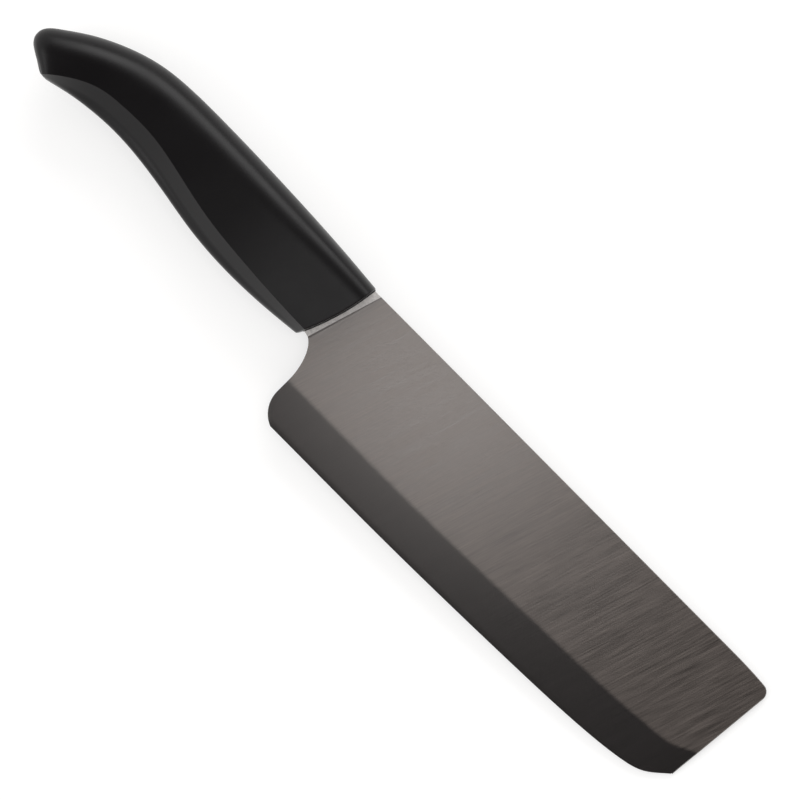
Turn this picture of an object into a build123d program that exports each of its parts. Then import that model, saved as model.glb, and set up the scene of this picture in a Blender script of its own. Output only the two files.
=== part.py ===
from build123d import *
import math
import os

# Vegetable knife with a ground ceramic blade and a moulded two-shell handle. Millimetres.
# Drawn with the heel line at x = 0 and the spine at y = 0: +X to the tip, +Y out of the
# spine, +Z out of the right-hand face, the blade's middle plane at z = 0.

# Blade outline
blade_length = 150.0
blade_height = 45.4
tip_height = 34.6
tip_lean = 3.1
tip_corner_radius = 2.6
spine_droop_length = 13.0
spine_droop = 0.45
heel_corner_run = 5.3
choil_run = 6.6
# Where the heel's straight back starts and ends, as shares of the way from the neck to the edge
heel_back_shares = (0.489, 0.678)
# Edge from the heel corner to the tip: along the blade, and the rise above the heel's level
edge_sweep_shares = ((0.30, 0.0), (0.645, 0.105), (0.815, 0.225), (0.894, 0.355), (0.94, 0.545))

# Blade section
blank_thickness = 2.0
spine_thickness = 1.84
shoulder_thickness = 1.70
edge_thickness = 0.06
fine_bevel_height = 0.5
fine_bevel_thickness = 0.22
bevel_height = 12.2
spine_chamfer = 0.22
# Height of the ground bevel along the blade, as a share of bevel_height
bevel_along_shares = (-0.06, 0.04, 0.20, 0.36, 0.50, 0.64, 0.74, 0.82, 0.88, 0.92, 0.95, 0.98, 1.02)
bevel_height_shares = (1.0, 1.0, 1.0, 1.0, 1.01, 1.02, 1.01, 0.99, 0.97, 0.92, 0.84, 0.70, 0.50)
plunge_top = 1.75
plunge_bottom = 4.5
plunge_ramp = 0.40

# Tang
tang_depth = 56.0
tang_top_drop = 3.6
tang_bottom_rise = 3.65
tang_end_drop = 6.4
tang_end_rise = 5.45
tang_shoulder = 4.0
tang_corner_radius = 2.0
tang_hole_diameter = 5.0
tang_hole_shares = (0.34, 0.80)

# Handle outline
handle_gap = 0.75
neck_inset = 3.65
handle_length = 112.8
handle_rise = 3.3
handle_depth = 27.8
handle_width = 18.5
front_slant = 7.5
front_bulge = 1.26

# Stations from front to butt. Places are shares of handle_length from the front and of
# handle_depth from the top; the rest are shares of each section's own size.
top_place_shares = (
    (-0.030, 0.110), (0.122, 0.059), (0.258, 0.029), (0.400, 0.009), (0.524, 0.000), (0.631, 0.004),
    (0.729, 0.043), (0.817, 0.149), (0.897, 0.306), (0.964, 0.489), (0.997, 0.648), (0.994, 0.759),
)
bottom_place_shares = (
    (0.036, 0.932), (0.170, 0.986), (0.288, 1.000), (0.409, 0.966), (0.524, 0.890), (0.626, 0.833),
    (0.711, 0.817), (0.786, 0.838), (0.848, 0.878), (0.893, 0.921), (0.910, 0.937), (0.916, 0.942),
)
width_shares = (0.80, 0.93, 1.00, 0.99, 0.95, 0.915, 0.905, 0.90, 0.86, 0.77, 0.61, 0.44)
shoulder_shares = (0.30, 0.32, 0.34, 0.36, 0.39, 0.42, 0.45, 0.47, 0.50, 0.52, 0.52, 0.50)
shoulder_fullness_shares = (0.74, 0.70, 0.66, 0.64, 0.62, 0.60, 0.58, 0.57, 0.56, 0.56, 0.56, 0.56)
crease_shares = (0.915, 0.847, 0.807, 0.780, 0.739, 0.703, 0.702, 0.700, 0.783, 0.895, 0.950, 0.965)
keel_width_shares = (0.60, 0.52, 0.47, 0.45, 0.44, 0.44, 0.45, 0.47, 0.54, 0.66, 0.74, 0.80)
keel_drop_share = 0.35

# Handle shells
shell_wall = 2.4
cavity_front_share = 0.45
rib_thickness = 1.4
rib_relief = 0.3
rib_shares = (0.115, 0.29, 0.545, 0.76)
pocket_wall = 1.6
bond_gap = 0.2
seal_depth = 1.5
key_pin_diameter = 4.6
key_boss_diameter = 8.4
end_pin_diameter = 3.4
end_boss_diameter = 7.0
end_pin_shares = ((0.66, 0.36), (0.855, 0.49))
pin_length = 2.8
pin_lead = 0.3
pin_clearance = 0.05
pin_end_clearance = 0.2
tongue_inset = 0.8
tongue_width = 0.8
tongue_height = 0.7
groove_clearance = 0.15

# One overrun for every cut
overrun = 4.0

# Derived places
blank_half = blank_thickness / 2
edge_y = -blade_height
neck_height = handle_depth - handle_rise - neck_inset
heel_drop = blade_height - neck_height
tang_root_y = (-tang_top_drop, tang_bottom_rise - neck_height)
tang_end_y = (-tang_end_drop, tang_end_rise - neck_height)
handle_front = -handle_gap
handle_top = handle_rise
edge_rise = blade_height - tip_height
section_lean = math.atan2((spine_thickness - shoulder_thickness) / 2, blade_height - bevel_height)
pocket_half = blank_half + bond_gap
floor_half = pocket_half + pocket_wall
reach = blade_length + overrun


def ground_half(y):
    """Half thickness of the ground main face at height y."""
    return spine_thickness / 2 + y * math.tan(section_lean)


def tip_x(y):
    """Where the leaning tip line stands at height y."""
    return blade_length + tip_lean * min(y + tip_corner_radius, 0) / tip_height


def edge_points():
    """Points of the cutting edge from the heel corner to the foot of the tip line."""
    points = [(heel_corner_run, edge_y)]
    points += [(along * blade_length, edge_y + rise * edge_rise) for along, rise in edge_sweep_shares]
    return points + [(tip_x(-tip_height), -tip_height)]


def edge_height(x):
    """Height of the cutting edge at x, for the bevel's tool."""
    points = [(-blade_length, edge_y), *edge_points()]
    (x0, y0), (x1, y1) = points[-2], points[-1]
    if x >= x1:
        return y1 + (x - x1) * (y1 - y0) / (x1 - x0)
    curve = Spline(*points[1:], tangents=((1, 0), (x1 - x0, y1 - y0)))
    if x <= points[1][0]:
        return edge_y
    low, high = 0.0, 1.0
    while high - low > 1e-6:
        middle = (low + high) / 2
        low, high = (middle, high) if (curve @ middle).X < x else (low, middle)
    return (curve @ low).Y


# Blade
def blade_outline():
    """Outline of the ground part, from the neck's underside round by the heel, edge, tip and spine."""
    neck = (-choil_run, -neck_height)
    heel_start, heel_end = ((0, -neck_height - share * heel_drop) for share in heel_back_shares)
    edge_start, *_, edge_end = edge_points()
    before = edge_points()[-2]
    tip_top = (blade_length, -tip_corner_radius - spine_droop)
    corner = (blade_length - tip_corner_radius, -spine_droop)
    droop_start = (blade_length - tip_corner_radius - spine_droop_length, 0)
    behind = (handle_front, 0)
    edges = [
        Spline(neck, heel_start, tangents=((1, 0), (0, -1))),
        Line(heel_start, heel_end),
        TangentArc(heel_end, edge_start, tangent=(0, -1)),
        Spline(*edge_points(), tangents=((1, 0), (edge_end[0] - before[0], edge_end[1] - before[1]))),
        Line(edge_end, tip_top),
        TangentArc(tip_top, corner, tangent=(tip_lean, tip_height)),
        Spline(corner, droop_start, tangents=((-tip_corner_radius, spine_droop / 2), (-1, 0))),
        Line(droop_start, behind),
        Line(behind, neck),
    ]
    return make_face(edges)


def tang_outline(grow=0.0):
    """Neck and tang from the ground part back to the tang's end, grown outwards by grow."""
    root = handle_front - tang_shoulder
    slant = front_slant * neck_height / (handle_depth - handle_rise)
    end = handle_front - tang_depth
    foot = handle_front - slant
    points = [
        (0, 0),
        (handle_front, 0),
        (root, tang_root_y[0]),
        (end, tang_end_y[0]),
        (end, tang_end_y[1]),
        (foot - tang_shoulder, tang_root_y[1]),
        (foot, -neck_height),
        (-choil_run, -neck_height),
        (0, -neck_height),
    ]
    face = make_face(Polyline(*points, close=True))
    ends = face.vertices().sort_by(Axis.X)[:2]
    face = fillet(ends, tang_corner_radius)
    return offset(face, grow) if grow else face


def tang_hole_places():
    """Centres of the two keying holes on the tang's middle line."""
    start = (handle_front, sum(tang_root_y) / 2)
    end = (handle_front - tang_depth, sum(tang_end_y) / 2)
    return [tuple(a + (b - a) * share for a, b in zip(start, end)) for share in tang_hole_shares]


def slab(face, low, high):
    """A flat face in the XY plane as a plate from z = low to z = high."""
    return Pos(0, 0, low) * extrude(face, high - low)


def ground_tool():
    """What the main grind takes off the right-hand face, down a short ramp from the plunge line."""
    main = Plane(
        origin=(0, 0, ground_half(0)),
        x_dir=(1, 0, 0),
        z_dir=(0, -math.sin(section_lean), math.cos(section_lean)),
    )
    along = Vector(plunge_top + plunge_bottom, neck_height).normalized()
    drop = (blank_half - ground_half(0)) / plunge_ramp
    ramp = Plane(
        origin=(plunge_top, 0, blank_half),
        x_dir=(along.X, along.Y, 0),
        z_dir=(along.Y * drop, -along.X * drop, 1),
    )
    area = Rectangle(2 * reach, 2 * reach)
    return extrude(main * area, overrun) & extrude(ramp * area, reach)


def bevel_tool():
    """What the edge grind takes off the right-hand side: a loft along the blade."""
    sections = []
    for along, share in zip(bevel_along_shares, bevel_height_shares):
        x = along * blade_length
        low = edge_height(x)
        shoulder = low + share * bevel_height
        points = [
            (shoulder, ground_half(shoulder)),
            (low + fine_bevel_height, fine_bevel_thickness / 2),
            (low, edge_thickness / 2),
            (low - overrun, edge_thickness / 2),
            (low - overrun, overrun),
            (shoulder, overrun),
        ]
        sections.append(Plane(origin=(x, 0, 0), x_dir=(0, 1, 0), z_dir=(1, 0, 0)) * make_face(Polyline(*points, close=True)))
    return loft(sections, ruled=True)


def on_spine(edge):
    """Whether an edge runs along a corner of the ground spine, tip corner or tip line."""
    middle = edge @ 0.5
    across = abs((edge @ 1).Z - (edge @ 0).Z)
    past_plunge = middle.X > plunge_top + plunge_ramp and middle.Y > -spine_droop
    past_corner = middle.X > tip_x(-tip_height) and middle.Y > edge_y + edge_rise
    ground = shoulder_thickness / 2 < abs(middle.Z) < blank_half
    return ground and across < plunge_ramp and (past_plunge or past_corner)


def make_blade():
    """Blade, neck and tang in one piece of ceramic."""
    blank = slab(blade_outline() + tang_outline(), -blank_half, blank_half)
    for place in tang_hole_places():
        blank -= Pos(*place, 0) * Cylinder(tang_hole_diameter / 2, blank_thickness + overrun)
    ground = ground_tool()
    blank -= ground
    blank -= mirror(ground, Plane.XY)
    spine = [edge for edge in blank.edges() if on_spine(edge)]
    blank = chamfer(spine, spine_chamfer)
    bevel = bevel_tool()
    blank -= bevel
    return blank - mirror(bevel, Plane.XY)


# Handle
def station(i):
    """Top and bottom points and the shape shares of station i."""
    tx, ty = top_place_shares[i]
    bx, by = bottom_place_shares[i]
    return {
        "top": Vector(handle_front - tx * handle_length, handle_top - ty * handle_depth),
        "bottom": Vector(handle_front - bx * handle_length, handle_top - by * handle_depth),
        "half": width_shares[i] * handle_width / 2,
        "shoulder": shoulder_shares[i],
        "fullness": shoulder_fullness_shares[i],
        "crease": crease_shares[i],
        "keel": keel_width_shares[i],
    }


def between(a, b, share):
    """A station part way from a to b."""
    return {key: a[key] + (b[key] - a[key]) * share for key in a}


def section(s, inset=0.0):
    """Cross-section of the handle at a station, drawn inwards by inset."""
    down = (s["bottom"] - s["top"]).normalized()
    depth = (s["bottom"] - s["top"]).length
    half = s["half"] - inset
    top, keel = inset, depth - inset
    shoulder = max(s["shoulder"] * depth, top + inset)
    crease = s["crease"] * depth - inset * math.tan(math.pi / 8)
    keel_half = max(s["keel"] * s["half"] - inset * math.tan(math.pi / 8), inset / 4)
    keel_start = keel - keel_drop_share * (depth - s["crease"] * depth)
    full = s["fullness"]
    side = [
        Bezier((top, 0), (top, full * half), (shoulder - full * (shoulder - top), half), (shoulder, half)),
        Line((shoulder, half), (crease, half)),
        Line((crease, half), (keel_start, keel_half)),
        Bezier((keel_start, keel_half), (keel, keel_half * (1 - keel_drop_share)), (keel, keel_half / 2), (keel, 0)),
    ]
    other = [mirror(edge, Plane.XZ) for edge in side]
    face = make_face(side + other)
    return Plane(origin=s["top"], x_dir=down, z_dir=down.cross(Vector(0, 0, 1))) * face


def front_area(back=0.0):
    """Everything in front of the handle's curved front, the curve moved back along X."""
    head = (handle_front - back, 0)
    foot = (head[0] - front_slant, handle_rise - handle_depth)
    middle = ((head[0] + foot[0]) / 2 + front_bulge, foot[1] / 2)
    low = (foot[0] - overrun, foot[1] - overrun)
    high = (head[0], head[1] + handle_depth)
    far = blade_length + overrun
    arc = ThreePointArc(head, middle, foot)
    rim = Polyline(foot, low, (far, low[1]), (far, high[1]), high, head)
    return make_face([arc, rim])


def handle_body():
    """The handle's outer form, closed, with its curved front and cut butt."""
    last = len(width_shares)
    body = loft([section(station(i)) for i in range(last)])
    return body - slab(front_area(), -handle_width, handle_width)


def inner_form(inset, first=1, last=9):
    """A form inset from the handle's outer form, from behind the front to the tail."""
    front = between(station(0), station(1), cavity_front_share)
    return loft([section(s, inset) for s in [front] + [station(i) for i in range(first, last + 1)]])


def upper(shape):
    """The part of a shape on the right-hand side of the middle plane."""
    return split(shape, Plane.XY, keep=Keep.TOP)


def end_pin_places():
    """Centres of the two locating pins behind the tang."""
    return [(handle_front - x * handle_length, handle_top - y * handle_depth) for x, y in end_pin_shares]


def pillar(place, diameter, low, high):
    """An upright cylinder from z = low to z = high."""
    return Pos(*place, low) * extrude(Circle(diameter / 2), high - low)


def shell_filling():
    """Solid features inside the right-hand shell: tang bed, ribs and pin bosses."""
    bed = slab(tang_outline(bond_gap + pocket_wall), 0, floor_half)
    ribs = []
    for share in rib_shares:
        middle = (handle_front - share * handle_length, handle_top - handle_depth / 2)
        lift = rib_relief + handle_width / 2
        ribs.append(Pos(*middle, lift) * Box(rib_thickness, 2 * handle_depth, handle_width))
    bosses = [pillar(place, key_boss_diameter, pocket_half, handle_width) for place in tang_hole_places()]
    bosses += [pillar(place, end_boss_diameter, 0, handle_width) for place in end_pin_places()]
    return [bed, *ribs, *bosses]


def pocket():
    """The space for the tang through the middle plane, open at the handle's front."""
    return slab(tang_outline(bond_gap), -pocket_half, pocket_half)


def half_shell(body):
    """One shell without pins or sockets, on the right-hand side of the middle plane."""
    hollow = upper(inner_form(shell_wall)) - shell_filling()
    return upper(body) - hollow - pocket()


def rim_strips(clearance):
    """Two strips along the shells' rim, top and bottom, standing on the middle plane."""
    outside = inner_form(tongue_inset - clearance)
    inside = inner_form(tongue_inset + tongue_width + clearance)
    band = slab(Rectangle(2 * reach, 2 * reach), 0, tongue_height + clearance)
    return outside & band - inside


def pins():
    """Locating pins of the left-hand shell: two through the tang, two behind it."""
    solids = []
    for place in tang_hole_places():
        solids.append(pillar(place, key_pin_diameter, -pocket_half, pocket_half + pin_length))
    for place in end_pin_places():
        solids.append(pillar(place, end_pin_diameter, -pin_length, pin_length))
    return [chamfer(pin.edges().sort_by(Axis.Z)[-1], pin_lead) for pin in solids]


def sockets():
    """Holes of the right-hand shell for those pins."""
    wider = 2 * pin_clearance
    deeper = pin_length + pin_end_clearance
    holes = []
    for place in tang_hole_places():
        holes.append(pillar(place, key_pin_diameter + wider, 0, pocket_half + deeper))
    for place in end_pin_places():
        holes.append(pillar(place, end_pin_diameter + wider, 0, deeper))
    return holes


# Whole knife
def make_knife():
    """Every piece of the knife in its place, by name."""
    blade = make_blade()
    body = handle_body()
    shell = half_shell(body)
    tongue = rim_strips(0)
    groove = rim_strips(groove_clearance)
    right = shell - sockets() - groove
    left = mirror(shell, Plane.XY) + pins() + tongue
    filling = (pocket() & body) - blade - pins()
    behind = slab(front_area(seal_depth), -handle_width, handle_width)
    seam = (groove - tongue).solids().sort_by(Axis.Y)
    return {
        "blade": blade,
        "handle_shell_right": right,
        "handle_shell_left": left,
        "tang_bond": filling - behind,
        "throat_seal": filling & behind,
        "seam_bond_top": seam[-1],
        "seam_bond_bottom": seam[0],
    }


if __name__ == "__main__":
    os.makedirs("parts", exist_ok=True)
    pieces = make_knife()
    box = Compound(list(pieces.values())).bounding_box()
    place = Pos(-box.center().X, -box.center().Y, -box.min.Z)
    for name, piece in pieces.items():
        export_step(place * piece, f"parts/{name}.step")
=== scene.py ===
import math

import bpy
import numpy as np
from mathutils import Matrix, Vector


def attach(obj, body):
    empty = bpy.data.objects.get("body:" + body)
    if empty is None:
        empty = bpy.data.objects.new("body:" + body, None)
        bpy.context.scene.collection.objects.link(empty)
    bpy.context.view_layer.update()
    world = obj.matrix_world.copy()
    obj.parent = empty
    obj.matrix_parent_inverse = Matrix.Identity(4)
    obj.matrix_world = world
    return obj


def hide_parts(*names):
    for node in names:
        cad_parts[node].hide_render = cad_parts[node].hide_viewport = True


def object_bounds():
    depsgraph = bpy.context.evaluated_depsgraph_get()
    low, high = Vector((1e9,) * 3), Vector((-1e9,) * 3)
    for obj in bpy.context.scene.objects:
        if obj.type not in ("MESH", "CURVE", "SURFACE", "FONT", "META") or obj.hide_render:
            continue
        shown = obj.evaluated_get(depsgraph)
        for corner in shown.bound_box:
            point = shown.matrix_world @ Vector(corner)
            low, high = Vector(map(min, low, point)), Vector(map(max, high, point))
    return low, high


# Vegetable knife lying on its left side: ground black zirconia blade, black moulded ABS handle.
# Sizes are in millimetres along the knife's own lines: x from the heel to the tip, y out of the
# spine, z out of the right-hand face. toFrame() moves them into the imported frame, in metres.

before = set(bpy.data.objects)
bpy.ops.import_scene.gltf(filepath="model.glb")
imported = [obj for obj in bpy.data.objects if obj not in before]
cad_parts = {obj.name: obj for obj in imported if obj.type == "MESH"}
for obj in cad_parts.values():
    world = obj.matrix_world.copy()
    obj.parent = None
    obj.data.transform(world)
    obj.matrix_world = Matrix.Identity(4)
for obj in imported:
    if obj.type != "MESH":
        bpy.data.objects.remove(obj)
cadLow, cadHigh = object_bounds()

frameShift = Vector((-18.276, 21.0607, 9.2663))  # heel line at the spine, seen from the frame's origin
millimetre = 0.001


def toFrame(x, y, z):
    return ((x + frameShift.x) * millimetre, (y + frameShift.y) * millimetre, (z + frameShift.z) * millimetre)


# Small helpers
def linearColour(hexColour, alpha=1.0):
    channels = [int(hexColour[i:i + 2], 16) / 255 for i in (1, 3, 5)]
    return [c / 12.92 if c <= 0.04045 else ((c + 0.055) / 1.055) ** 2.4 for c in channels] + [alpha]


def addNode(tree, kind, inputs=None, **settings):
    node = tree.nodes.new(kind)
    for name, value in settings.items():
        setattr(node, name, value)
    for socket, value in (inputs or {}).items():
        if isinstance(value, bpy.types.NodeSocket):
            tree.links.new(value, node.inputs[socket])
        else:
            node.inputs[socket].default_value = value
    return node


def newMaterial(name):
    material = bpy.data.materials.new(name)
    material.use_nodes = True
    material.node_tree.nodes.clear()
    return material, material.node_tree


def finishMaterial(tree, shader):
    addNode(tree, "ShaderNodeOutputMaterial", {"Surface": shader.outputs[0]})


def makeObject(name, vertices, faces, materials):
    mesh = bpy.data.meshes.new(name)
    mesh.from_pydata([toFrame(*v) for v in vertices], [], faces)
    for material in materials:
        mesh.materials.append(material)
    mesh.validate()
    mesh.shade_smooth()
    piece = bpy.data.objects.new(name, mesh)
    bpy.context.scene.collection.objects.link(piece)
    return piece


def clampedSpline(points, count, startWay=None, endWay=None):
    # a cubic through the points, knots by chord length, as the solid's outline is drawn
    points = np.array(points, float)
    gaps = np.linalg.norm(np.diff(points, axis=0), axis=1)
    knots = np.concatenate([[0], np.cumsum(gaps)])
    slopes = splineSlopes(knots, points, startWay, endWay)
    where = np.linspace(0, knots[-1], count)
    return evaluateSpline(knots, points, slopes, where)


def splineSlopes(knots, points, startWay=None, endWay=None):
    n = len(points)
    gaps = np.diff(knots)
    matrix = np.zeros((n, n))
    right = np.zeros_like(points)
    for i in range(1, n - 1):
        matrix[i, i - 1:i + 2] = gaps[i], 2 * (gaps[i - 1] + gaps[i]), gaps[i - 1]
        before, after = (points[i] - points[i - 1]) / gaps[i - 1], (points[i + 1] - points[i]) / gaps[i]
        right[i] = 3 * (gaps[i] * before + gaps[i - 1] * after)
    for row, other, way in ((0, 1, startWay), (n - 1, n - 2, endWay)):
        if way is None:  # no bending at a free end
            matrix[row, row], matrix[row, other] = 2, 1
            right[row] = 3 * (points[max(row, other)] - points[min(row, other)]) / gaps[min(row, other)]
        else:
            matrix[row, row] = 1
            right[row] = np.array(way, float) / np.linalg.norm(way)
    return np.linalg.solve(matrix, right.reshape(n, -1)).reshape(points.shape)


def evaluateSpline(knots, points, slopes, where):
    i = np.clip(np.searchsorted(knots, where, side="right") - 1, 0, len(knots) - 2)
    gap = knots[i + 1] - knots[i]
    s = (where - knots[i]) / gap
    shape = [len(s)] + [1] * (points.ndim - 1)
    s, gap = s.reshape(shape), gap.reshape(shape)
    return (points[i] * (1 + 2 * s) * (1 - s) ** 2 + points[i + 1] * s * s * (3 - 2 * s)
            + slopes[i] * gap * s * (1 - s) ** 2 - slopes[i + 1] * gap * s * s * (1 - s))


def resampled(path, lengths):
    # points at the given shares of a polyline's length
    path = np.array(path, float)
    steps = np.concatenate([[0], np.cumsum(np.linalg.norm(np.diff(path, axis=0), axis=1))])
    places = np.asarray(lengths) * steps[-1]
    return np.stack([np.interp(places, steps, path[:, k]) for k in range(path.shape[1])], axis=1)


print("stage: helpers ready")

# Materials
bladeFinish = {
    "markLean": math.degrees(math.atan2(6.25, 20.85)),  # the marks run parallel to the plunge line
    "markWidth": 0.42,       # drawn coarser than a real mark so that it shows
    "markLength": 11.0,
    "streakWidth": 1.7,
    "streakLength": 34.0,
    "cloudSize": 26.0,
}


def groundZirconia():
    # black zirconia ground with a diamond wheel: dark body, grey sheen along fine cross marks,
    # a high index that mirrors a softbox as a broad soft glow, and a finer edge bevel whose darker
    # colour is partly its own and partly painted shade; a painted shadow line at the plunge step
    # and a painted highlight line just past it
    material, tree = newMaterial("groundBlackZirconia")
    place = addNode(tree, "ShaderNodeTexCoord").outputs["Object"]
    turn = math.radians(bladeFinish["markLean"])
    marks = []
    for width, length in (("markWidth", "markLength"), ("streakWidth", "streakLength")):
        turned = addNode(tree, "ShaderNodeMapping", {"Vector": place, "Rotation": (0, 0, turn)})
        scaled = addNode(tree, "ShaderNodeMapping", {
            "Vector": turned.outputs[0],
            "Scale": (1000 / bladeFinish[width], 1000 / bladeFinish[length], 1000 / bladeFinish[length]),
        })
        marks.append(addNode(tree, "ShaderNodeTexNoise", {
            "Vector": scaled.outputs[0], "Scale": 1.0, "Detail": 3.0, "Roughness": 0.62,
        }).outputs["Fac"])
    clouds = addNode(tree, "ShaderNodeTexNoise", {
        "Vector": place, "Scale": 1000 / bladeFinish["cloudSize"], "Detail": 2.0,
    }).outputs["Fac"]
    marksMixed = addNode(tree, "ShaderNodeMix", {"Factor": 0.36, 2: marks[0], 3: marks[1]}).outputs[0]
    marksRange = addNode(tree, "ShaderNodeMapRange", {
        "Value": marksMixed, "From Min": 0.3, "From Max": 0.7,
    }).outputs[0]
    mainColour = addNode(tree, "ShaderNodeMix", {
        "Factor": marksRange, 6: linearColour("#2f2a27"), 7: linearColour("#5a524d"),
    }, data_type="RGBA").outputs[2]
    warmColour = addNode(tree, "ShaderNodeMix", {
        "Factor": clouds, 6: linearColour("#a19a96"), 7: linearColour("#a3958f"),
    }, data_type="RGBA").outputs[2]
    tinted = addNode(tree, "ShaderNodeMix", {
        "Factor": 0.22, 6: mainColour, 7: warmColour,
    }, data_type="RGBA", blend_type="OVERLAY").outputs[2]
    # the bevel's darker colour is partly the finer-polished ceramic's own and partly painted shade standing
    # in for the dark reflection the bevel shows
    bevelColourAndPaintedShade = addNode(tree, "ShaderNodeMix", {
        "Factor": marksRange, 6: linearColour("#1a1818"), 7: linearColour("#242121"),
    }, data_type="RGBA").outputs[2]
    bevelShare = addNode(tree, "ShaderNodeAttribute", attribute_name="bevelShare").outputs["Fac"]
    colour = addNode(tree, "ShaderNodeMix", {
        "Factor": bevelShare, 6: tinted, 7: bevelColourAndPaintedShade,
    }, data_type="RGBA").outputs[2]
    # painted shadow of the plunge step: colour halved next to the plunge line and back to full by 2.3 mm past
    # it, then a painted highlight line about 2.5 mm past it
    plunge = addNode(tree, "ShaderNodeAttribute", attribute_name="plungeDistance").outputs["Fac"]
    plungePaintedShadow = addNode(tree, "ShaderNodeMapRange", {
        "Value": plunge, "From Min": 0.3, "From Max": 0.8, "To Min": 0.5, "To Max": 0.86,
    }, interpolation_type="SMOOTHSTEP").outputs[0]
    paintedShadowFade = addNode(tree, "ShaderNodeMapRange", {
        "Value": plunge, "From Min": 0.8, "From Max": 2.3, "To Min": 1.0, "To Max": 1.16,
    }).outputs[0]
    plungePaintedShadow = addNode(tree, "ShaderNodeMath", {0: plungePaintedShadow, 1: paintedShadowFade}, operation="MULTIPLY").outputs[0]
    paintedHighlightOffset = addNode(tree, "ShaderNodeMath", {0: plunge, 1: 2.5}, operation="SUBTRACT").outputs[0]
    paintedHighlightReach = addNode(tree, "ShaderNodeMath", {0: paintedHighlightOffset}, operation="ABSOLUTE").outputs[0]
    paintedHighlightLine = addNode(tree, "ShaderNodeMapRange", {
        "Value": paintedHighlightReach, "From Min": 0.0, "From Max": 0.45, "To Min": 1.16, "To Max": 1.0,
    }, interpolation_type="SMOOTHSTEP").outputs[0]
    paintedShadowAndHighlight = addNode(tree, "ShaderNodeMath", {0: plungePaintedShadow, 1: paintedHighlightLine}, operation="MULTIPLY").outputs[0]
    colour = addNode(tree, "ShaderNodeVectorMath", {0: colour, "Scale": paintedShadowAndHighlight}, operation="SCALE").outputs[0]
    roughMain = addNode(tree, "ShaderNodeMapRange", {
        "Value": marksMixed, "From Min": 0.3, "From Max": 0.7, "To Min": 0.30, "To Max": 0.40,
    }).outputs[0]
    rough = addNode(tree, "ShaderNodeMix", {"Factor": bevelShare, 2: roughMain, 3: 0.30}).outputs[0]
    bump = addNode(tree, "ShaderNodeBump", {
        "Height": marksMixed, "Strength": 0.5, "Distance": 0.00005,
    }).outputs[0]
    shader = addNode(tree, "ShaderNodeBsdfPrincipled", {
        "Base Color": colour, "Roughness": rough, "IOR": 2.15, "Normal": bump,
        "Specular Tint": linearColour("#fff8f4"),
    })
    finishMaterial(tree, shader)
    return material


def firedZirconia():
    # the same ceramic as it left the kiln: matt, paler, with a fine speckle
    material, tree = newMaterial("asFiredZirconia")
    place = addNode(tree, "ShaderNodeTexCoord").outputs["Object"]
    speckle = addNode(tree, "ShaderNodeTexNoise", {
        "Vector": place, "Scale": 1000 / 0.55, "Detail": 2.0, "Roughness": 0.7,
    }).outputs["Fac"]
    colour = addNode(tree, "ShaderNodeMix", {
        "Factor": speckle, 6: linearColour("#7c7876"), 7: linearColour("#e0dad6"),
    }, data_type="RGBA").outputs[2]
    bump = addNode(tree, "ShaderNodeBump", {
        "Height": speckle, "Strength": 0.4, "Distance": 0.00003,
    }).outputs[0]
    shader = addNode(tree, "ShaderNodeBsdfPrincipled", {
        "Base Color": colour, "Roughness": 0.55, "IOR": 2.1, "Normal": bump,
    })
    finishMaterial(tree, shader)
    return material


def mouldedAbs():
    # black ABS from a satin-blasted mould: near black, a soft broad highlight, a very fine grain
    material, tree = newMaterial("satinBlackAbs")
    place = addNode(tree, "ShaderNodeTexCoord").outputs["Object"]
    grain = addNode(tree, "ShaderNodeTexNoise", {
        "Vector": place, "Scale": 1000 / 0.35, "Detail": 2.0,
    }).outputs["Fac"]
    handling = addNode(tree, "ShaderNodeTexNoise", {
        "Vector": place, "Scale": 1000 / 18, "Detail": 3.0,
    }).outputs["Fac"]
    colour = addNode(tree, "ShaderNodeMix", {
        "Factor": grain, 6: linearColour("#0a0809"), 7: linearColour("#121011"),
    }, data_type="RGBA").outputs[2]
    rough = addNode(tree, "ShaderNodeMapRange", {
        "Value": handling, "From Min": 0.3, "From Max": 0.7, "To Min": 0.34, "To Max": 0.40,
    }).outputs[0]
    bump = addNode(tree, "ShaderNodeBump", {
        "Height": grain, "Strength": 0.12, "Distance": 0.00003,
    }).outputs[0]
    shader = addNode(tree, "ShaderNodeBsdfPrincipled", {
        "Base Color": colour, "Roughness": rough, "IOR": 1.5, "Specular IOR Level": 0.22, "Normal": bump,
    })
    finishMaterial(tree, shader)
    return material


def curedEpoxy():
    # clear two-part epoxy, slightly amber, with a wet gloss and cloudy filler
    material, tree = newMaterial("curedEpoxy")
    place = addNode(tree, "ShaderNodeTexCoord").outputs["Object"]
    cloud = addNode(tree, "ShaderNodeTexNoise", {
        "Vector": place, "Scale": 1000 / 4, "Detail": 2.0,
    }).outputs["Fac"]
    colour = addNode(tree, "ShaderNodeMix", {
        "Factor": cloud, 6: linearColour("#b6a06d"), 7: linearColour("#cdbd92"),
    }, data_type="RGBA").outputs[2]
    shader = addNode(tree, "ShaderNodeBsdfPrincipled", {"Base Color": colour, "Roughness": 0.2, "IOR": 1.55})
    finishMaterial(tree, shader)
    return material


def siliconeSeal():
    # black food-grade silicone, wiped smooth: dull with a faint skin
    material, tree = newMaterial("blackSilicone")
    place = addNode(tree, "ShaderNodeTexCoord").outputs["Object"]
    skin = addNode(tree, "ShaderNodeTexNoise", {
        "Vector": place, "Scale": 1000 / 1.2, "Detail": 2.0,
    }).outputs["Fac"]
    colour = addNode(tree, "ShaderNodeMix", {
        "Factor": skin, 6: linearColour("#0c0c0c"), 7: linearColour("#161515"),
    }, data_type="RGBA").outputs[2]
    shader = addNode(tree, "ShaderNodeBsdfPrincipled", {"Base Color": colour, "Roughness": 0.5, "IOR": 1.41})
    finishMaterial(tree, shader)
    return material


ceramicGround = groundZirconia()
ceramicFired = firedZirconia()
blackAbs = mouldedAbs()
epoxy = curedEpoxy()
silicone = siliconeSeal()
print("stage: materials ready")

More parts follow.
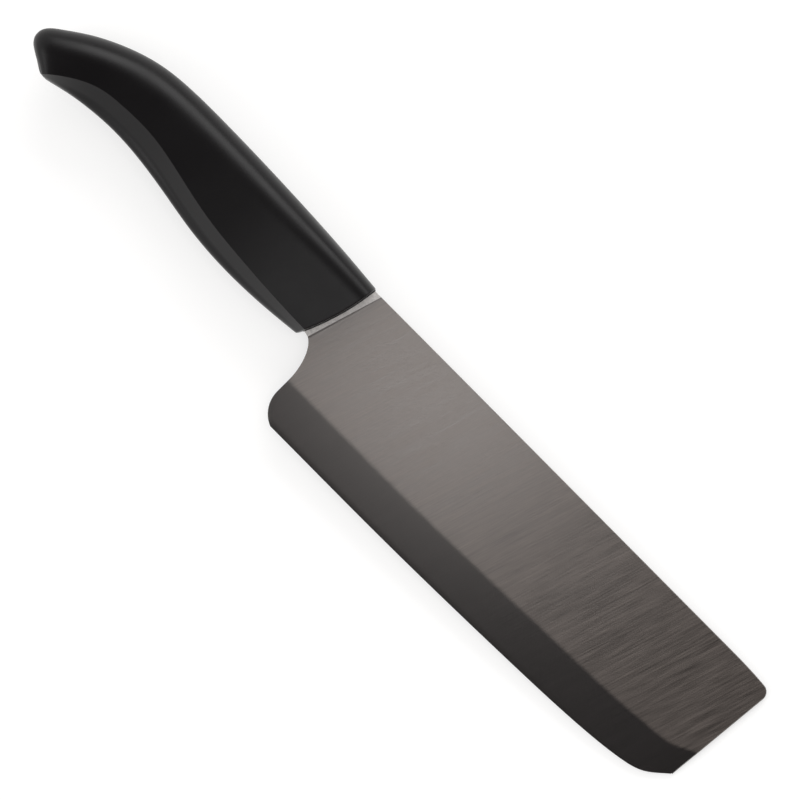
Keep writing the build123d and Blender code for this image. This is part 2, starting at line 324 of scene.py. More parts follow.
# Blade
bladeSizes = {
    "length": 150.0, "height": 45.4, "tipHeight": 34.6, "tipLean": 3.1, "tipRadius": 2.6,
    "droopLength": 13.0, "droop": 0.45, "heelRun": 5.3, "choilRun": 6.6, "neckHeight": 20.85,
    "heelBackShares": (0.489, 0.678),
    "edgeShares": ((0.30, 0.0), (0.645, 0.105), (0.815, 0.225), (0.894, 0.355), (0.94, 0.545)),
    "blankHalf": 1.0, "spineHalf": 0.92, "shoulderHalf": 0.85, "edgeHalf": 0.03,
    "fineHeight": 0.5, "fineHalf": 0.11, "bevelHeight": 12.2,
    "bevelAlongShares": (-0.06, 0.04, 0.20, 0.36, 0.50, 0.64, 0.74, 0.82, 0.88, 0.92, 0.95, 0.98, 1.02),
    "bevelHeightShares": (1.0, 1.0, 1.0, 1.0, 1.01, 1.02, 1.01, 0.99, 0.97, 0.92, 0.84, 0.70, 0.50),
    "shoulderBlend": 0.05,   # how far the two ground planes are eased into each other, in thickness
    "plungeTop": 1.75, "plungeBottom": 4.5, "plungeRamp": 0.40,
    "spineChamfer": 0.22, "neckChamfer": 0.08,
    "tangDepth": 56.0, "tangTopDrop": 3.6, "tangBottomRise": 3.65, "tangEndDrop": 6.4, "tangEndRise": 5.45,
    "tangShoulder": 4.0, "tangCorner": 2.0, "tangHole": 5.0, "tangHoleShares": (0.34, 0.80),
    "handleGap": 0.75, "frontSlant": 7.5, "frontDrop": 24.5, "frontBulge": 1.26,
}


def edgeCurve(count=220):
    b = bladeSizes
    rise = b["height"] - b["tipHeight"]
    points = [(b["heelRun"], -b["height"])]
    points += [(along * b["length"], -b["height"] + up * rise) for along, up in b["edgeShares"]]
    foot = b["length"] - b["tipLean"] * (b["tipHeight"] - b["tipRadius"]) / b["tipHeight"]
    points.append((foot, -b["tipHeight"]))
    last = (points[-1][0] - points[-2][0], points[-1][1] - points[-2][1])
    return clampedSpline(points, count, (1, 0), last)


edgeLine = edgeCurve()


def edgeY(x):
    (x0, y0), (x1, y1) = edgeLine[-2], edgeLine[-1]
    beyond = y1 + (x - x1) * (y1 - y0) / (x1 - x0)
    return np.where(x > x1, beyond, np.interp(x, edgeLine[:, 0], edgeLine[:, 1]))


def shoulderY(x):
    b = bladeSizes
    along = np.array(b["bevelAlongShares"]) * b["length"]
    return edgeY(x) + np.interp(x, along, b["bevelHeightShares"]) * b["bevelHeight"]


def plungeDistance(x, y):
    b = bladeSizes
    run = math.hypot(b["plungeTop"] + b["plungeBottom"], b["neckHeight"])
    return ((x - b["plungeTop"]) * b["neckHeight"] - y * (b["plungeTop"] + b["plungeBottom"])) / run


def groundHalf(y):
    b = bladeSizes
    return b["spineHalf"] + y * (b["spineHalf"] - b["shoulderHalf"]) / (b["height"] - b["bevelHeight"])


def halfThickness(x, y):
    # half the blade's thickness anywhere: ground face, eased shoulder, bevel, fine bevel, plunge ramp
    b = bladeSizes
    edge, shoulder = edgeY(x), shoulderY(x)
    slope = (groundHalf(shoulder) - b["fineHalf"]) / np.maximum(shoulder - edge - b["fineHeight"], 1.0)
    bevel = b["fineHalf"] + (y - edge - b["fineHeight"]) * slope
    fine = b["edgeHalf"] + (y - edge) * (b["fineHalf"] - b["edgeHalf"]) / b["fineHeight"]
    bevel = np.where(y < edge + b["fineHeight"], fine, bevel)
    main = groundHalf(y)
    near = np.clip(0.5 + 0.5 * (bevel - main) / b["shoulderBlend"], 0, 1)
    eased = bevel + (main - bevel) * near - b["shoulderBlend"] * near * (1 - near)
    ramp = b["blankHalf"] - plungeDistance(x, y) * (b["blankHalf"] - b["spineHalf"]) / b["plungeRamp"]
    half = np.maximum(eased, np.minimum(ramp, b["blankHalf"]))
    return np.maximum(half, b["edgeHalf"])


def bladeColumns():
    # pairs of points, spine side and edge side, from the tang's end to the tip line
    b = bladeSizes
    front = -b["handleGap"]
    end = front - b["tangDepth"]
    topDrop, topEnd = -b["tangTopDrop"], -b["tangEndDrop"]
    lowRoot, lowEnd = b["tangBottomRise"] - b["neckHeight"], b["tangEndRise"] - b["neckHeight"]
    neckFoot = front - b["frontSlant"] * b["neckHeight"] / b["frontDrop"]
    pairs = []
    for angle in np.linspace(0, 90, 5):
        inset = b["tangCorner"] * (1 - math.sin(math.radians(angle)))
        along = end + b["tangCorner"] * (1 - math.cos(math.radians(angle)))
        pairs.append(((along, topEnd - inset), (along, lowEnd + inset)))
    rootTop, rootLow = front - b["tangShoulder"], neckFoot - b["tangShoulder"]
    start = end + b["tangCorner"]
    for share in np.linspace(0, 1, 12)[1:]:
        top = (start + (rootTop - start) * share, topEnd + (topDrop - topEnd) * share)
        low = (start + (rootLow - start) * share, lowEnd + (lowRoot - lowEnd) * share)
        pairs.append((top, low))
    for share in np.linspace(0, 1, 5)[1:]:
        top = (rootTop + (front - rootTop) * share, topDrop * (1 - share))
        low = (rootLow + (neckFoot - rootLow) * share, lowRoot + (-b["neckHeight"] - lowRoot) * share)
        pairs.append((top, low))
    # choil and heel
    heelDrop = b["height"] - b["neckHeight"]
    backStart, backEnd = (-b["neckHeight"] - share * heelDrop for share in b["heelBackShares"])
    choil = clampedSpline([(-b["choilRun"], -b["neckHeight"]), (0, backStart)], 40, (1, 0), (0, -1))
    fall = backEnd + b["height"]
    radius = (b["heelRun"] ** 2 + fall ** 2) / (2 * b["heelRun"])
    last = math.atan2(fall, radius - b["heelRun"])
    arc = [(radius - radius * math.cos(a), backEnd - radius * math.sin(a)) for a in np.linspace(0, last, 30)]
    below = [(neckFoot, -b["neckHeight"])] + [tuple(p) for p in choil] + arc
    below = resampled(below, np.linspace(0, 1, 400))
    away = plungeDistance(below[:, 0], below[:, 1])
    start = int(np.argmax(away > 0))
    for share in (0.35, 0.7, 0.92):
        foot = below[0] + (below[start] - below[0]) * share
        pairs.append(((front + (b["plungeTop"] - front) * share, 0), tuple(foot)))
    pairs.append(((b["plungeTop"], 0), tuple(below[start])))
    for step in (0.5, 1.0, 1.5):  # over the ramp and just past it
        k = int(np.argmax(away > step * b["plungeRamp"]))
        pairs.append(((b["plungeTop"] + step * b["plungeRamp"] * 1.045, 0), tuple(below[k])))
    heelTop = b["heelRun"] + 0.4
    rest = resampled(below[k:], np.linspace(0, 1, 31)[1:])
    tops = np.linspace(pairs[-1][0][0], heelTop, 31)[1:]
    pairs += [((top, 0), tuple(foot)) for top, foot in zip(tops, rest)]
    # main length and tip
    line = edgeLine
    split = int(np.argmax(line[:, 0] > b["edgeShares"][3][0] * b["length"]))
    droopStart = b["length"] - b["tipRadius"] - b["droopLength"]
    count = 118
    mainLow = resampled(line[:split + 1], np.linspace(0, 1, count)[1:])
    mainTop = np.linspace(heelTop, droopStart, count)[1:]
    pairs += [((top, 0), tuple(foot)) for top, foot in zip(mainTop, mainLow)]
    corner = b["length"] - b["tipRadius"]
    droopWay = (1, -b["droop"] / b["tipRadius"] / 2)
    droop = clampedSpline([(droopStart, 0), (corner, -b["droop"])], 30, (1, 0), droopWay)
    leanAngle = math.atan2(b["tipLean"], b["tipHeight"])
    turn = [(corner + b["tipRadius"] * math.sin(a), -b["droop"] - b["tipRadius"] * (1 - math.cos(a)))
            for a in np.linspace(0.1, math.pi / 2 + leanAngle, 24)]
    top = resampled([tuple(p) for p in droop] + turn, np.linspace(0, 1, 34)[1:])
    low = resampled(line[split:], np.linspace(0, 1, 34)[1:])
    pairs += [(tuple(a), tuple(c)) for a, c in zip(top, low)]
    return np.array(pairs)


def makeBlade():
    b = bladeSizes
    pairs = bladeColumns()
    tops, lows = pairs[:, 0], pairs[:, 1]
    ways = np.gradient(tops, axis=0)
    ways /= np.maximum(np.linalg.norm(ways, axis=1, keepdims=True), 1e-9)
    inward = np.stack([ways[:, 1], -ways[:, 0]], axis=1)
    inward[:5] = (0, -1)
    chamfer = np.where(tops[:, 0] > b["plungeTop"] + b["plungeRamp"], b["spineChamfer"], b["neckChamfer"])
    # the last column stands on the tip line, the one before it just inside the tip's chamfer
    tipWay = (lows[-1] - tops[-1]) / np.linalg.norm(lows[-1] - tops[-1])
    tipIn = np.array([tipWay[1], -tipWay[0]]) * b["spineChamfer"]
    inside = tops + inward * chamfer[:, None]
    inside[-1] = tops[-1]
    tops = np.insert(tops, -1, tops[-1], axis=0)
    inside = np.insert(inside, -1, tops[-1] + tipIn, axis=0)
    lows = np.insert(lows, -1, lows[-1] + tipIn, axis=0)
    chamfer = np.append(chamfer, b["spineChamfer"])
    columns = []
    for top, start, low, cut in zip(tops, inside, lows, chamfer):
        span = low - start
        f = 0.8
        for _ in range(6):  # where this column crosses the shoulder
            x = start[0] + span[0] * f
            f = float(np.clip((shoulderY(x) - start[1]) / span[1], 0.2, 1.2))
        reach = 0.9 / abs(span[1])
        fine = (edgeY(low[0]) + b["fineHeight"] - start[1]) / span[1]
        f1 = min(f - reach, 0.93)
        f2 = min(max(f + reach, f1 + 0.02), 0.965)
        f3 = min(max(float(fine), f2 + 0.01), 0.99)
        shares = np.concatenate([np.linspace(0, f1, 15)[:-1], np.linspace(f1, f2, 7)[:-1],
                                 np.linspace(f2, f3, 9)[:-1], np.linspace(f3, 1, 3)])
        points = start + span * shares[:, None]
        half = halfThickness(points[:, 0], points[:, 1])
        rim = max(half[0] - cut, 0.4 * half[0])
        columns.append([(top[0], top[1], rim)] + [(x, y, h) for (x, y), h in zip(points, half)])
    rim = [(x, y, max(h - b["spineChamfer"], 0.4 * h)) for x, y, h in columns[-1]]
    rim[0] = columns[-1][0]
    rim[1] = (tops[-1][0], tops[-1][1], rim[0][2])
    columns[-1] = rim
    rows, count = len(columns[0]), len(columns)
    upper = [p for column in columns for p in column]
    lower = [(x, y, -h) for x, y, h in upper]
    n = len(upper)
    faces, groups = [], []
    neck = sum(1 for top in tops if top[0] <= b["plungeTop"] + 1e-6) - 1
    for i in range(count - 1):
        slotIndex = 1 if i < neck else 0
        for r in range(rows - 1):
            a, d = i * rows + r, (i + 1) * rows + r
            faces += [(a, a + 1, d + 1, d), (n + a, n + d, n + d + 1, n + a + 1)]
            groups += [slotIndex] * 2
        a, d = i * rows, (i + 1) * rows
        faces += [(a, d, n + d, n + a), (a + rows - 1, n + a + rows - 1, n + d + rows - 1, d + rows - 1)]
        groups += [slotIndex] * 2
    for i, slotIndex in ((0, 1), (count - 1, 0)):
        for r in range(rows - 1):
            a = i * rows + r
            quad = (a, n + a, n + a + 1, a + 1)
            faces.append(quad if i == 0 else quad[::-1])
            groups.append(slotIndex)
    blade = makeObject("bladeBody", upper + lower, faces, [ceramicGround, ceramicFired])
    mesh = blade.data
    for polygon, group in zip(mesh.polygons, groups):
        polygon.material_index = group
    everything = np.array(upper + lower)
    x, y = everything[:, 0], everything[:, 1]
    below = shoulderY(x) - y
    share = np.clip((below + 0.55) / 1.3, 0, 1)
    share = share * share * (3 - 2 * share)
    for name, values in (("bevelShare", share), ("plungeDistance", plungeDistance(x, y))):
        layer = mesh.attributes.new(name, "FLOAT", "POINT")
        layer.data.foreach_set("value", values.astype(np.float32))
    return blade


def cutTangHoles(blade):
    # the two keying holes, cut through the tang as in the solid
    b = bladeSizes
    front = -b["handleGap"]
    root = (-b["tangTopDrop"] + b["tangBottomRise"] - b["neckHeight"]) / 2
    end = (-b["tangEndDrop"] + b["tangEndRise"] - b["neckHeight"]) / 2
    for share in b["tangHoleShares"]:
        x, y = front - b["tangDepth"] * share, root + (end - root) * share
        radius, sides, tall = b["tangHole"] / 2, 48, 2 * b["blankHalf"]
        angles = np.linspace(0, 2 * math.pi, sides + 1)[:-1]
        ring = [(x + radius * math.cos(a), y + radius * math.sin(a)) for a in angles]
        vertices = [(px, py, z) for z in (-tall, tall) for px, py in ring]
        faces = [tuple(range(sides))[::-1], tuple(range(sides, 2 * sides))]
        faces += [(i, (i + 1) % sides, sides + (i + 1) % sides, sides + i) for i in range(sides)]
        drill = makeObject("tangDrill", vertices, faces, [])
        cut = blade.modifiers.new("tangHole", "BOOLEAN")
        cut.object, cut.operation, cut.solver = drill, "DIFFERENCE", "EXACT"
        applyModifiers(blade)
        bpy.data.objects.remove(drill)


def applyModifiers(piece):
    # the finished shape becomes the piece's plain mesh, and the modifiers go
    graph = bpy.context.evaluated_depsgraph_get()
    finished = bpy.data.meshes.new_from_object(
        piece.evaluated_get(graph), preserve_all_data_layers=True, depsgraph=graph)
    old = piece.data
    piece.modifiers.clear()
    piece.data = finished
    finished.name = piece.name
    if old.users == 0 and isinstance(old, bpy.types.Mesh):
        bpy.data.meshes.remove(old)


bladeBody = makeBlade()
cutTangHoles(bladeBody)
bladeBody.data.set_sharp_from_angle(angle=math.radians(28))
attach(bladeBody, "root")
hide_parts("blade")
print("stage: blade made,", len(bladeBody.data.polygons), "faces")

# Handle
handleSizes = {
    "length": 112.8, "rise": 3.3, "depth": 27.8, "width": 18.5, "gap": 0.75,
    "topPlaceShares": (
        (-0.030, 0.110), (0.122, 0.059), (0.258, 0.029), (0.400, 0.009), (0.524, 0.000), (0.631, 0.004),
        (0.729, 0.043), (0.817, 0.149), (0.897, 0.306), (0.964, 0.489), (0.997, 0.648), (0.994, 0.759)),
    "bottomPlaceShares": (
        (0.036, 0.932), (0.170, 0.986), (0.288, 1.000), (0.409, 0.966), (0.524, 0.890), (0.626, 0.833),
        (0.711, 0.817), (0.786, 0.838), (0.848, 0.878), (0.893, 0.921), (0.910, 0.937), (0.916, 0.942)),
    "widthShares": (0.80, 0.93, 1.00, 0.99, 0.95, 0.915, 0.905, 0.90, 0.86, 0.77, 0.61, 0.44),
    "shoulderShares": (0.30, 0.32, 0.34, 0.36, 0.39, 0.42, 0.45, 0.47, 0.50, 0.52, 0.52, 0.50),
    "fullnessShares": (0.74, 0.70, 0.66, 0.64, 0.62, 0.60, 0.58, 0.57, 0.56, 0.56, 0.56, 0.56),
    "creaseShares": (0.915, 0.847, 0.807, 0.780, 0.739, 0.703, 0.702, 0.700, 0.783, 0.895, 0.950, 0.965),
    "keelWidthShares": (0.60, 0.52, 0.47, 0.45, 0.44, 0.44, 0.45, 0.47, 0.54, 0.66, 0.74, 0.80),
    "keelDropShare": 0.35,
    "partingDepth": 0.10, "frontRounding": 0.35, "buttRounding": 1.7,
    "rowsAlong": 150,
}


def bezier(points, count):
    t = np.linspace(0, 1, count + 1)[:, None]
    a, b, c, d = (np.array(p, float) for p in points)
    return a * (1 - t) ** 3 + 3 * b * t * (1 - t) ** 2 + 3 * c * t * t * (1 - t) + d * t ** 3


def handleSection(i):
    # half a cross-section at station i, from the top seam down the right-hand side to the bottom seam
    h = handleSizes
    tx, ty = h["topPlaceShares"][i]
    bx, by = h["bottomPlaceShares"][i]
    top = np.array([-h["gap"] - tx * h["length"], h["rise"] - ty * h["depth"]])
    bottom = np.array([-h["gap"] - bx * h["length"], h["rise"] - by * h["depth"]])
    depth = np.linalg.norm(bottom - top)
    down = (bottom - top) / depth
    half = h["widthShares"][i] * h["width"] / 2
    full = h["fullnessShares"][i]
    shoulder, crease = h["shoulderShares"][i] * depth, h["creaseShares"][i] * depth
    keelHalf = h["keelWidthShares"][i] * half
    keelStart = depth - h["keelDropShare"] * (depth - crease)
    over = bezier([(0, 0), (0, full * half), (shoulder - full * shoulder, half), (shoulder, half)], 20)
    side = np.array([(shoulder + (crease - shoulder) * share, half) for share in np.linspace(0, 1, 17)])
    corner = np.array([crease, half])
    keel = np.array([keelStart, keelHalf])
    keelEase = keelHalf * (1 - h["keelDropShare"])
    under = bezier([keel, (depth, keelEase), (depth, keelHalf / 2), (depth, 0)], 12)
    facet = [corner + (keel - corner) * t for t in np.linspace(0, 1, 7)[:-1]]
    line = np.concatenate([over[:-1], side[:-1], facet, under])
    groove = h["partingDepth"]
    line = np.concatenate([
        [(groove, 0)], [(0, groove)], line[1:-1], [(depth, groove)], [(depth - groove, 0)]])
    return np.array([(*(top + down * s), z) for s, z in line])


def frontX(y):
    # the curved front of the handle, x at height y
    b = bladeSizes
    head = np.array([-b["handleGap"], 0.0])
    foot = np.array([-b["handleGap"] - b["frontSlant"], -b["frontDrop"]])
    middle = (head + foot) / 2 + (b["frontBulge"], 0)
    rowsLeft = 2 * np.array([middle - head, foot - head])
    rowsRight = np.array([middle @ middle - head @ head, foot @ foot - head @ head])
    centre = np.linalg.solve(rowsLeft, rowsRight)
    radius = np.linalg.norm(head - centre)
    y = np.minimum(y, 0.0)
    return centre[0] + np.sqrt(radius ** 2 - (y - centre[1]) ** 2)


def makeShell(name, side):
    h = handleSizes
    stations = np.array([handleSection(i) for i in range(len(h["widthShares"]))])
    centres = stations.mean(axis=1)
    knots = np.concatenate([[0], np.cumsum(np.linalg.norm(np.diff(centres, axis=0), axis=1))])
    slopes = splineSlopes(knots, stations)
    lines = stations.shape[1]

    def surface(j, where):
        return evaluateSpline(knots, stations[:, j], slopes[:, j], where)

    starts = []
    for j in range(lines):  # where each long line leaves the curved front
        low, high = 0.0, knots[1] * 1.5
        for _ in range(40):
            middle = (low + high) / 2
            p = surface(j, np.array([middle]))[0]
            low, high = (middle, high) if p[0] > frontX(p[1]) else (low, middle)
        starts.append(high)
    starts = np.array(starts)
    front = np.array([surface(j, starts[j:j + 1])[0] for j in range(lines)])
    butt = stations[-1]
    turns = np.radians(np.linspace(90, 0, 7))

    def insetDirections(ring, flat):
        # inward directions across an end face, square to its outline
        way = np.gradient(ring, axis=0)
        normal = np.cross(way, flat)
        normal /= np.linalg.norm(normal, axis=1, keepdims=True)
        middle = ring.mean(axis=0) * (1, 1, 0)
        normal *= np.sign(np.sum((middle - ring) * normal, axis=1))[:, None]
        return normal

    rows = []
    flatFront = np.array([1.0, -0.3, 0])
    inFront = insetDirections(front, flatFront / np.linalg.norm(flatFront))
    inFront[0], inFront[-1] = (0, -1, 0), (0, 1, 0)
    behind = np.array([surface(j, starts[j:j + 1] + 1.5)[0] for j in range(lines)]) - front
    behind /= np.linalg.norm(behind, axis=1, keepdims=True)
    r = h["frontRounding"]
    for turn in turns:
        ring = front + behind * r * (1 - math.sin(turn)) + inFront * r * (1 - math.cos(turn))
        if turn == turns[0]:
            ring[:, 0] = frontX(ring[:, 1])
        rows.append(ring)
    total = knots[-1]
    rButt = h["buttRounding"]

    def backFrom(j, distance):
        # the place on long line j that is this far from its end at the butt
        low, high = total - 6.0, total
        for _ in range(30):
            middle = (low + high) / 2
            far = np.linalg.norm(surface(j, np.array([middle]))[0] - butt[j])
            low, high = (middle, high) if far > distance else (low, middle)
        return high

    ends = np.array([backFrom(j, rButt * 1.12) for j in range(lines)])
    for share in np.linspace(0, 1, h["rowsAlong"]):
        where = starts + r * 1.6 + (ends - starts - r * 1.6) * (share * 0.5 + (1 - (1 - share) ** 1.6) * 0.5)
        rows.append(np.array([surface(j, where[j:j + 1])[0] for j in range(lines)]))
    buttWay = np.cross(butt[-1] - butt[0], (0, 0, 1.0))
    inButt = insetDirections(butt, buttWay / np.linalg.norm(buttWay))
    along = (butt[-1] - butt[0]) / np.linalg.norm(butt[-1] - butt[0])
    inButt[0], inButt[-1] = along, -along
    for turn in turns[::-1]:
        back = [backFrom(j, rButt * (1 - math.sin(turn))) for j in range(lines)]
        ring = np.array([surface(j, np.array([back[j]]))[0] for j in range(lines)])
        rows.append(ring + inButt * rButt * (1 - math.cos(turn)))
    widest = max(row[:, 2].max() for row in rows)
    room = min(cadHigh[2] / millimetre - frameShift.z, frameShift.z - cadLow[2] / millimetre) - 0.003
    highest = cadHigh[1] / millimetre - frameShift.y - 0.003
    for row in rows:
        row[:, 2] = np.maximum(row[:, 2] * min(1, room / widest), 0)  # the solid's own width and height
        row[:, 1] = np.minimum(row[:, 1], highest)
        row[0, 2] = row[-1, 2] = 0
    vertices = [tuple(p) for row in rows for p in row]
    faces = []
    for i in range(len(rows) - 1):
        for j in range(lines - 1):
            a, d = i * lines + j, (i + 1) * lines + j
            faces.append((a, a + 1, d + 1, d))
    # curved front face: strips from its rim in to the middle plane
    strips = 5
    inner = rows[0]
    columns = [list(range(lines))]
    for k in range(1, strips + 1):
        first = len(vertices)
        for x, y, z in inner:
            vertices.append((float(frontX(y)), y, z * (1 - k / strips)))
        columns.append(list(range(first, first + lines)))
    for k in range(strips):
        for j in range(1, lines - 2):
            faces.append((columns[k][j], columns[k + 1][j], columns[k + 1][j + 1], columns[k][j + 1]))
        faces.append((columns[0][0], columns[k + 1][1], columns[k][1]))
        faces.append((columns[0][-1], columns[k][-2], columns[k + 1][-2]))
    last = (len(rows) - 1) * lines
    faces.append(tuple(range(last, last + lines)))
    # middle plane, where the two shells meet
    seamTop = [i * lines for i in range(len(rows))]
    seamLow = [i * lines + lines - 1 for i in range(len(rows))]
    faces.append(tuple([seamTop[0], seamTop[1], seamLow[1], seamLow[0]] + columns[-1][1:-1][::-1]))
    for i in range(1, len(rows) - 1):
        faces.append((seamTop[i], seamTop[i + 1], seamLow[i + 1], seamLow[i]))
    if side < 0:
        vertices = [(x, y, -z) for x, y, z in vertices]
        faces = [face[::-1] for face in faces]
    shell = makeObject(name, vertices, faces, [blackAbs])
    shell.data.set_sharp_from_angle(angle=math.radians(32))
    return shell


handleRight = makeShell("handleShellRight", 1)
handleLeft = makeShell("handleShellLeft", -1)
for shell, node in ((handleRight, "handle_shell_right"), (handleLeft, "handle_shell_left")):
    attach(shell, "root")
    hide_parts(node)
print("stage: handle made,", len(handleRight.data.polygons), "faces a shell")

# Seal at the handle's mouth
beadSizes = {"radius": 0.26, "sides": 12, "points": 160, "cover": 0.10}


def beadTree():
    tree = bpy.data.node_groups.new("sealBead", "GeometryNodeTree")
    sockets = (
        ("Geometry", "NodeSocketGeometry", "INPUT"),
        ("Bead Radius", "NodeSocketFloat", "INPUT"),
        ("Bead Sides", "NodeSocketInt", "INPUT"),
        ("Path Points", "NodeSocketInt", "INPUT"),
        ("Geometry", "NodeSocketGeometry", "OUTPUT"),
    )
    for name, kind, way in sockets:
        tree.interface.new_socket(name, in_out=way, socket_type=kind)
    source = addNode(tree, "NodeGroupInput")
    path = addNode(tree, "GeometryNodeResampleCurve", {
        "Curve": source.outputs["Geometry"], "Count": source.outputs["Path Points"],
    })
    ring = addNode(tree, "GeometryNodeCurvePrimitiveCircle", {
        "Resolution": source.outputs["Bead Sides"], "Radius": source.outputs["Bead Radius"],
    })
    bead = addNode(tree, "GeometryNodeCurveToMesh", {
        "Curve": path.outputs["Curve"], "Profile Curve": ring.outputs["Curve"],
    })
    smooth = addNode(tree, "GeometryNodeSetShadeSmooth", {"Geometry": bead.outputs["Mesh"]})
    real = addNode(tree, "GeometryNodeRealizeInstances", {"Geometry": smooth.outputs["Geometry"]})
    dressed = addNode(tree, "GeometryNodeSetMaterial", {
        "Geometry": real.outputs["Geometry"], "Material": silicone,
    })
    addNode(tree, "NodeGroupOutput", {"Geometry": dressed.outputs["Geometry"]})
    return tree


def makeBead():
    b = bladeSizes
    half, foot = b["blankHalf"] + beadSizes["cover"], -b["neckHeight"] - beadSizes["cover"]
    path = []
    for z in (half, -half):
        heights = np.linspace(-0.3, foot + 0.5, 40)
        line = [(float(frontX(y)) + 0.02, y, z) for y in heights]
        turnLow = [(float(frontX(foot)) + 0.02, foot - 0.02, 0.5 * z)]
        path += line + turnLow if z > 0 else turnLow + line[::-1]
    path.append((float(frontX(0)) + 0.02, 0.02, -0.6 * half))
    path.append((float(frontX(0)) + 0.02, 0.02, 0.6 * half))
    curve = bpy.data.curves.new("sealPath", "CURVE")
    curve.dimensions = "3D"
    spline = curve.splines.new("POLY")
    spline.points.add(len(path) - 1)
    for point, place in zip(spline.points, path):
        point.co = (*toFrame(*place), 1)
    spline.use_cyclic_u = True
    guide = bpy.data.objects.new("throatBead", curve)
    bpy.context.scene.collection.objects.link(guide)
    tree = beadTree()
    made = guide.modifiers.new("sealBead", "NODES")
    made.node_group = tree
    wanted = {
        "Bead Radius": beadSizes["radius"] * millimetre,
        "Bead Sides": beadSizes["sides"],
        "Path Points": beadSizes["points"],
    }
    for item in tree.interface.items_tree:
        if item.in_out == "INPUT" and item.name in wanted:
            made[item.identifier] = wanted[item.name]
    graph = bpy.context.evaluated_depsgraph_get()
    mesh = bpy.data.meshes.new_from_object(guide.evaluated_get(graph), depsgraph=graph)
    mesh.name = "throatBead"
    bpy.data.objects.remove(guide)
    bead = bpy.data.objects.new("throatBead", mesh)
    bpy.context.scene.collection.objects.link(bead)
    return bead


throatBead = makeBead()
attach(throatBead, "root")
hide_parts("throat_seal")
print("stage: seal made,", len(throatBead.data.polygons), "faces")

# Glue lines that stay as in the solid, hidden inside the handle
for node in ("tang_bond", "seam_bond_top", "seam_bond_bottom"):
    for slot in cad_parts[node].material_slots:
        slot.material = epoxy

# Floor, light, camera
stageSizes = {
    "floorReach": 6.0, "floorColour": "#aeadac", "floorGlow": 0.60,
    "handleTouchX": -33.0, "tipTouchX": 149.5, "tipLowHalf": 0.92,
}


def makeFloor():
    # the knife rests on its handle's belly and its tip, so the floor leans up a little to the tip
    s = stageSizes
    rise = frameShift.z - s["tipLowHalf"]
    lean = math.atan2(rise, s["tipTouchX"] - s["handleTouchX"])
    away = s["floorReach"]
    start = toFrame(s["handleTouchX"], 0, 0)[0]
    corners = []
    for x, y in ((-away, -away), (away, -away), (away, away), (-away, away)):
        corners.append((start + x * math.cos(lean), y, x * math.sin(lean) - 0.00005))
    mesh = bpy.data.meshes.new("floor")
    mesh.from_pydata(corners, [], [(0, 1, 2, 3)])
    floor = bpy.data.objects.new("floor", mesh)
    bpy.context.scene.collection.objects.link(floor)
    material, tree = newMaterial("palePaper")  # matt white paper sweep
    path = addNode(tree, "ShaderNodeLightPath")
    seen = addNode(tree, "ShaderNodeMath", {
        0: path.outputs["Is Camera Ray"], 1: path.outputs["Is Glossy Ray"]}, operation="MAXIMUM").outputs[0]
    seen = addNode(tree, "ShaderNodeMath", {
        0: seen, 1: path.outputs["Is Transmission Ray"]}, operation="MAXIMUM").outputs[0]
    body = addNode(tree, "ShaderNodeBsdfDiffuse", {"Color": linearColour(s["floorColour"])})
    glow = addNode(tree, "ShaderNodeMath", {0: seen, 1: s["floorGlow"]}, operation="MULTIPLY").outputs[0]
    light = addNode(tree, "ShaderNodeEmission", {"Strength": glow})
    both = addNode(tree, "ShaderNodeAddShader", {0: body.outputs[0], 1: light.outputs[0]})
    finishMaterial(tree, both)
    mesh.materials.append(material)


def addPanel(name, place, aim, size, power):
    lamp = bpy.data.lights.new(name, "AREA")
    lamp.shape = "RECTANGLE"
    lamp.size, lamp.size_y = size
    lamp.energy = power
    panel = bpy.data.objects.new(name, lamp)
    panel.location = place
    panel.rotation_euler = (Vector(aim) - Vector(place)).to_track_quat("-Z", "Y").to_euler()
    bpy.context.scene.collection.objects.link(panel)
    return panel


def addFlag(name, corners):
    # black card that only reflections see, as a studio flag over a shiny blade
    mesh = bpy.data.meshes.new(name)
    mesh.from_pydata(corners, [], [tuple(range(len(corners)))])
    card = bpy.data.objects.new(name, mesh)
    bpy.context.scene.collection.objects.link(card)
    material, tree = newMaterial("blackCard")
    finishMaterial(tree, addNode(tree, "ShaderNodeBsdfDiffuse", {"Color": linearColour("#0a0a0a")}))
    mesh.materials.append(material)
    card.visible_camera = card.visible_diffuse = card.visible_shadow = False
    card.visible_transmission = False


makeFloor()

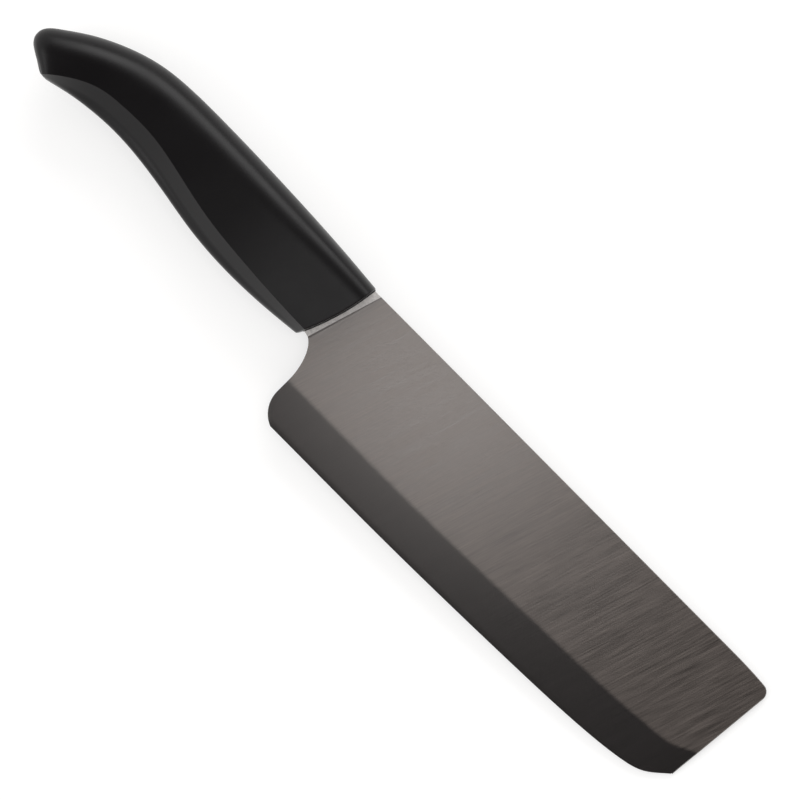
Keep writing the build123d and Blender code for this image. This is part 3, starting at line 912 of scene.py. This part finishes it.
world = bpy.data.worlds.new("studio")
bpy.context.scene.world = world
world.use_nodes = True
worldTree = world.node_tree
worldTree.nodes.clear()
lightPath = addNode(worldTree, "ShaderNodeLightPath")
seenOrShiny = addNode(worldTree, "ShaderNodeMath", {
    0: lightPath.outputs["Is Camera Ray"], 1: lightPath.outputs["Is Glossy Ray"]}, operation="MAXIMUM")
shown = addNode(worldTree, "ShaderNodeMath", {
    0: seenOrShiny.outputs[0], 1: lightPath.outputs["Is Transmission Ray"]}, operation="MAXIMUM")
strength = addNode(worldTree, "ShaderNodeMapRange", {
    "Value": shown.outputs[0], "To Min": 0.68, "To Max": 1.0})
sky = addNode(worldTree, "ShaderNodeBackground", {
    "Color": linearColour("#ffffff"), "Strength": strength.outputs[0]})
addNode(worldTree, "ShaderNodeOutputWorld", {"Surface": sky.outputs[0]})

panelSizes = {  # place and aim in metres, width and height in metres, power in watts
    "keyPanel": ((-0.32, 0.72, 0.44), (0, 0, 0), (0.95, 0.44), 5.0),
    "fillPanel": ((-0.5, -0.7, 0.6), (0, 0, 0), (0.8, 0.5), 3.0),
    "bladePanel": ((0.008, 0.024, 0.28), (0.008, 0.024, 0), (0.10, 0.10), 0.10),
}
flagSizes = {"reach": 0.9, "topHeight": 0.7, "sidePlace": 0.5, "sideHeight": 0.13}

for panelName, (place, aim, size, power) in panelSizes.items():
    addPanel(panelName, place, aim, size, power)
reach, side = flagSizes["reach"], flagSizes["sidePlace"]
corners = ((-reach, -reach), (reach, -reach), (reach, reach), (-reach, reach))
addFlag("topFlag", [(x, y, flagSizes["topHeight"]) for x, y in corners])
corners = ((-reach, 0), (reach, 0), (reach, flagSizes["sideHeight"]), (-reach, flagSizes["sideHeight"]))
addFlag("sideFlag", [(x, side, z) for x, z in corners])

photoView = {"turn": 45.2088, "centre": (6.52, 5.26), "span": 213.9, "away": 1000.0, "sensor": 36.0}


def makeCamera():
    # straight down onto the right-hand face, turned so that the knife runs down to the right
    v = photoView
    cameraData = bpy.data.cameras.new("photoCamera")
    camera = bpy.data.objects.new("photoCamera", cameraData)
    faceHeight = frameShift.z + bladeSizes["spineHalf"]
    cameraData.sensor_width = v["sensor"]
    cameraData.lens = v["sensor"] * v["away"] / v["span"]
    cameraData.clip_end = 20
    camera.location = [c * millimetre for c in (*v["centre"], v["away"] + faceHeight)]
    camera.rotation_euler = (0, 0, math.radians(v["turn"]))
    bpy.context.scene.collection.objects.link(camera)
    bpy.context.scene.camera = camera


makeCamera()
bpy.context.scene.view_settings.view_transform = "Standard"
print("stage: floor, light and camera ready")
